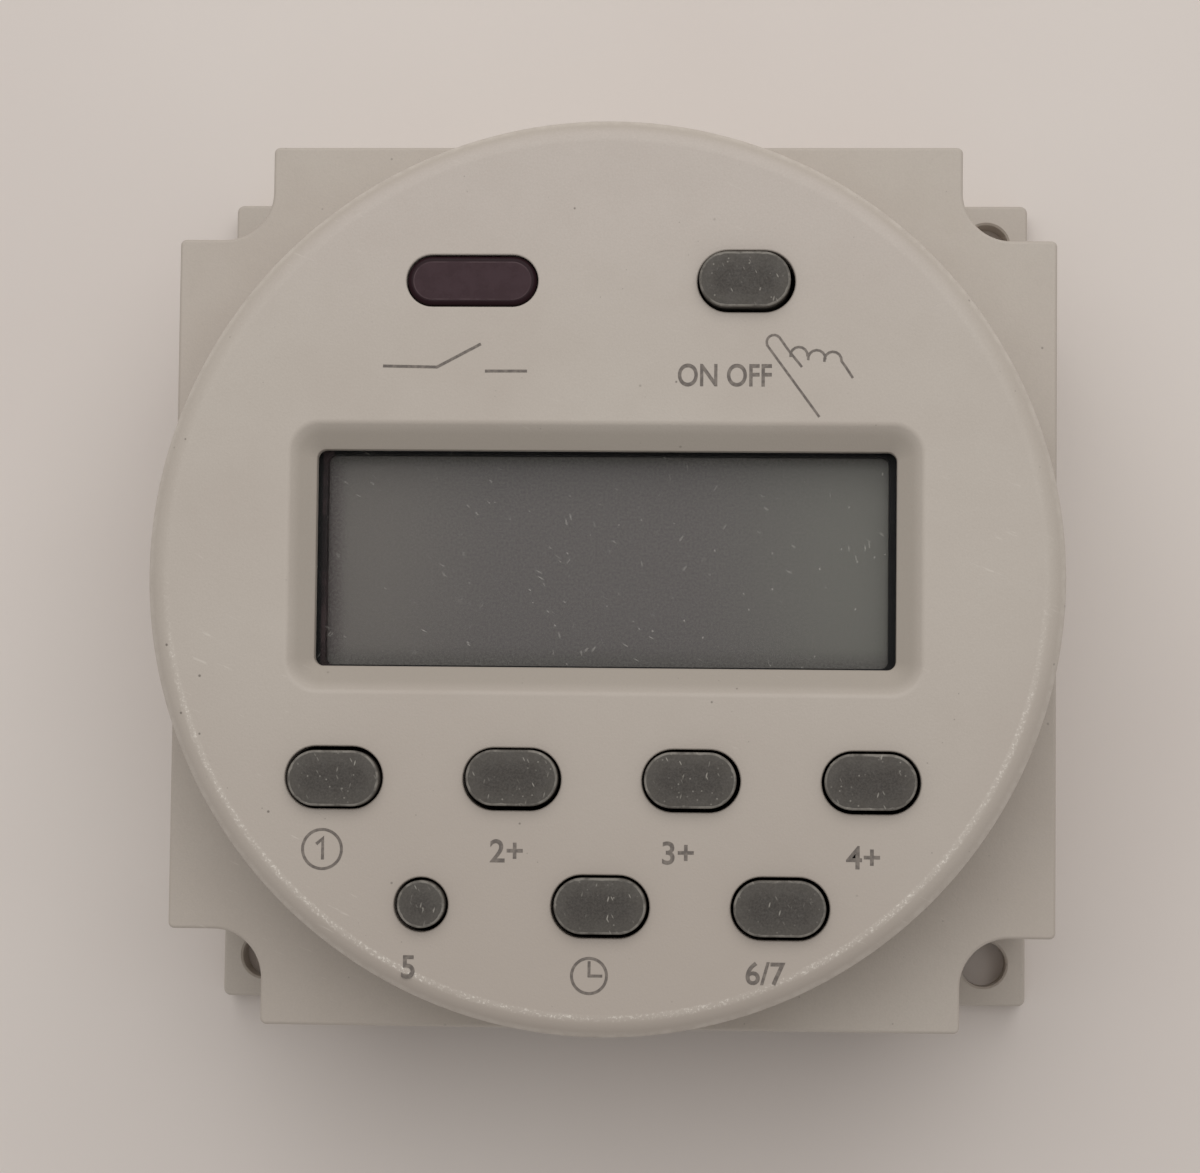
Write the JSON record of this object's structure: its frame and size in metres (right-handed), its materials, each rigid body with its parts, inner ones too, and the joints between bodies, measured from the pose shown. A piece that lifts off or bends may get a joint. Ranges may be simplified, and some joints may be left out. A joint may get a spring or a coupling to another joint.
{
  "type": "digital timer switch",
  "caption": "Small panel timer switch with a round face, a display window, rubber keys, an indicator window and a square notched flange with screw ears.",
  "frame": {"origin": "centre of the rear plane that the four ears lie on", "axes": "+Z out of the face, +X to the right and +Y up as the face is read"},
  "size_m": [0.06, 0.06, 0.0328],
  "materials": {
    "case": "pale warm grey moulded plastic with a fine grain",
    "window": "clear polished plastic sheet",
    "red_window": "dark red tinted plastic, smooth",
    "lamp": "red diffused resin",
    "black_plastic": "black moulded plastic",
    "display_film": "smooth grey polarising film",
    "display_glass": "thin clear glass",
    "key_rubber": "dark grey silicone rubber, slightly worn",
    "carbon": "black conductive rubber",
    "strip_rubber": "grey layered rubber strip",
    "board": "green solder mask on glass fibre",
    "power_board": "tan paper laminate",
    "terminal_metal": "tinned brass strip",
    "screw_steel": "zinc-plated steel",
    "relay_plastic": "dark blue moulded plastic",
    "film_box": "ochre moulded plastic box",
    "can_sleeve": "dark shrink sleeve",
    "cell_steel": "bright nickel-plated steel",
    "tab_steel": "nickel-plated strip",
    "diode_black": "black moulded body",
    "disc_blue": "blue dipped coating",
    "resistor_coat": "grey-blue lacquer",
    "resin": "black hard resin",
    "can_metal": "plain metal can",
    "pin_metal": "tinned pins"
  },
  "bodies": {
    "case": {"front_cover": "case", "rear_housing": "case", "window_lens": "window", "indicator_lens": "red_window", "indicator_led": "lamp", "lcd_frame": "black_plastic", "keypad_mat": "key_rubber", "manual_mat": "key_rubber", "display_board": "board", "power_board": "power_board", "terminal_blades": "terminal_metal", "board_screws": "screw_steel", "housing_screws": "screw_steel", "film_capacitor": "film_box", "filter_capacitor": "can_sleeve", "rectifier_diodes": "diode_black", "varistor": "disc_blue", "dropper_resistor": "resistor_coat", "driver_transistor": "diode_black", "clock_chip": "resin", "watch_crystal": "can_metal", "link_header": "black_plastic", "link_pins": "pin_metal", "lcd_front_polariser": "display_film", "lcd_front_glass": "display_glass", "lcd_rear_glass": "display_glass", "lcd_reflector": "display_film", "contact_strip": "strip_rubber", "support_strip": "strip_rubber", "relay_base": "relay_plastic", "relay_cover": "relay_plastic", "backup_cell": "cell_steel", "cell_tabs": "tab_steel", "web_manual": "key_rubber", "web_program": "key_rubber", "web_day": "key_rubber", "web_hour": "key_rubber", "web_minute": "key_rubber", "web_clock": "key_rubber", "web_recall": "key_rubber", "web_clear": "key_rubber"},
    "manual_key": {"key_manual": "key_rubber", "pill_manual": "carbon"},
    "program_key": {"key_program": "key_rubber", "pill_program": "carbon"},
    "day_key": {"key_day": "key_rubber", "pill_day": "carbon"},
    "hour_key": {"key_hour": "key_rubber", "pill_hour": "carbon"},
    "minute_key": {"key_minute": "key_rubber", "pill_minute": "carbon"},
    "clock_key": {"key_clock": "key_rubber", "pill_clock": "carbon"},
    "recall_key": {"key_recall": "key_rubber", "pill_recall": "carbon"},
    "clear_key": {"key_clear": "key_rubber", "pill_clear": "carbon"}
  },
  "joints": [
    {"name": "manual_press", "type": "slide", "parent": "case", "child": "manual_key", "axis": [0, 0, -1], "range_m": [0, 0.0008], "stiffness_N_per_m": 2000, "deforming": ["web_manual"]},
    {"name": "program_press", "type": "slide", "parent": "case", "child": "program_key", "axis": [0, 0, -1], "range_m": [0, 0.0008], "stiffness_N_per_m": 2000, "deforming": ["web_program"]},
    {"name": "day_press", "type": "slide", "parent": "case", "child": "day_key", "axis": [0, 0, -1], "range_m": [0, 0.0008], "stiffness_N_per_m": 2000, "deforming": ["web_day"]},
    {"name": "hour_press", "type": "slide", "parent": "case", "child": "hour_key", "axis": [0, 0, -1], "range_m": [0, 0.0008], "stiffness_N_per_m": 2000, "deforming": ["web_hour"]},
    {"name": "minute_press", "type": "slide", "parent": "case", "child": "minute_key", "axis": [0, 0, -1], "range_m": [0, 0.0008], "stiffness_N_per_m": 2000, "deforming": ["web_minute"]},
    {"name": "clock_press", "type": "slide", "parent": "case", "child": "clock_key", "axis": [0, 0, -1], "range_m": [0, 0.0008], "stiffness_N_per_m": 2000, "deforming": ["web_clock"]},
    {"name": "recall_press", "type": "slide", "parent": "case", "child": "recall_key", "axis": [0, 0, -1], "range_m": [0, 0.0008], "stiffness_N_per_m": 2000, "deforming": ["web_recall"]},
    {"name": "clear_press", "type": "slide", "parent": "case", "child": "clear_key", "axis": [0, 0, -1], "range_m": [0, 0.0008], "stiffness_N_per_m": 2000, "deforming": ["web_clear"]}
  ]
}
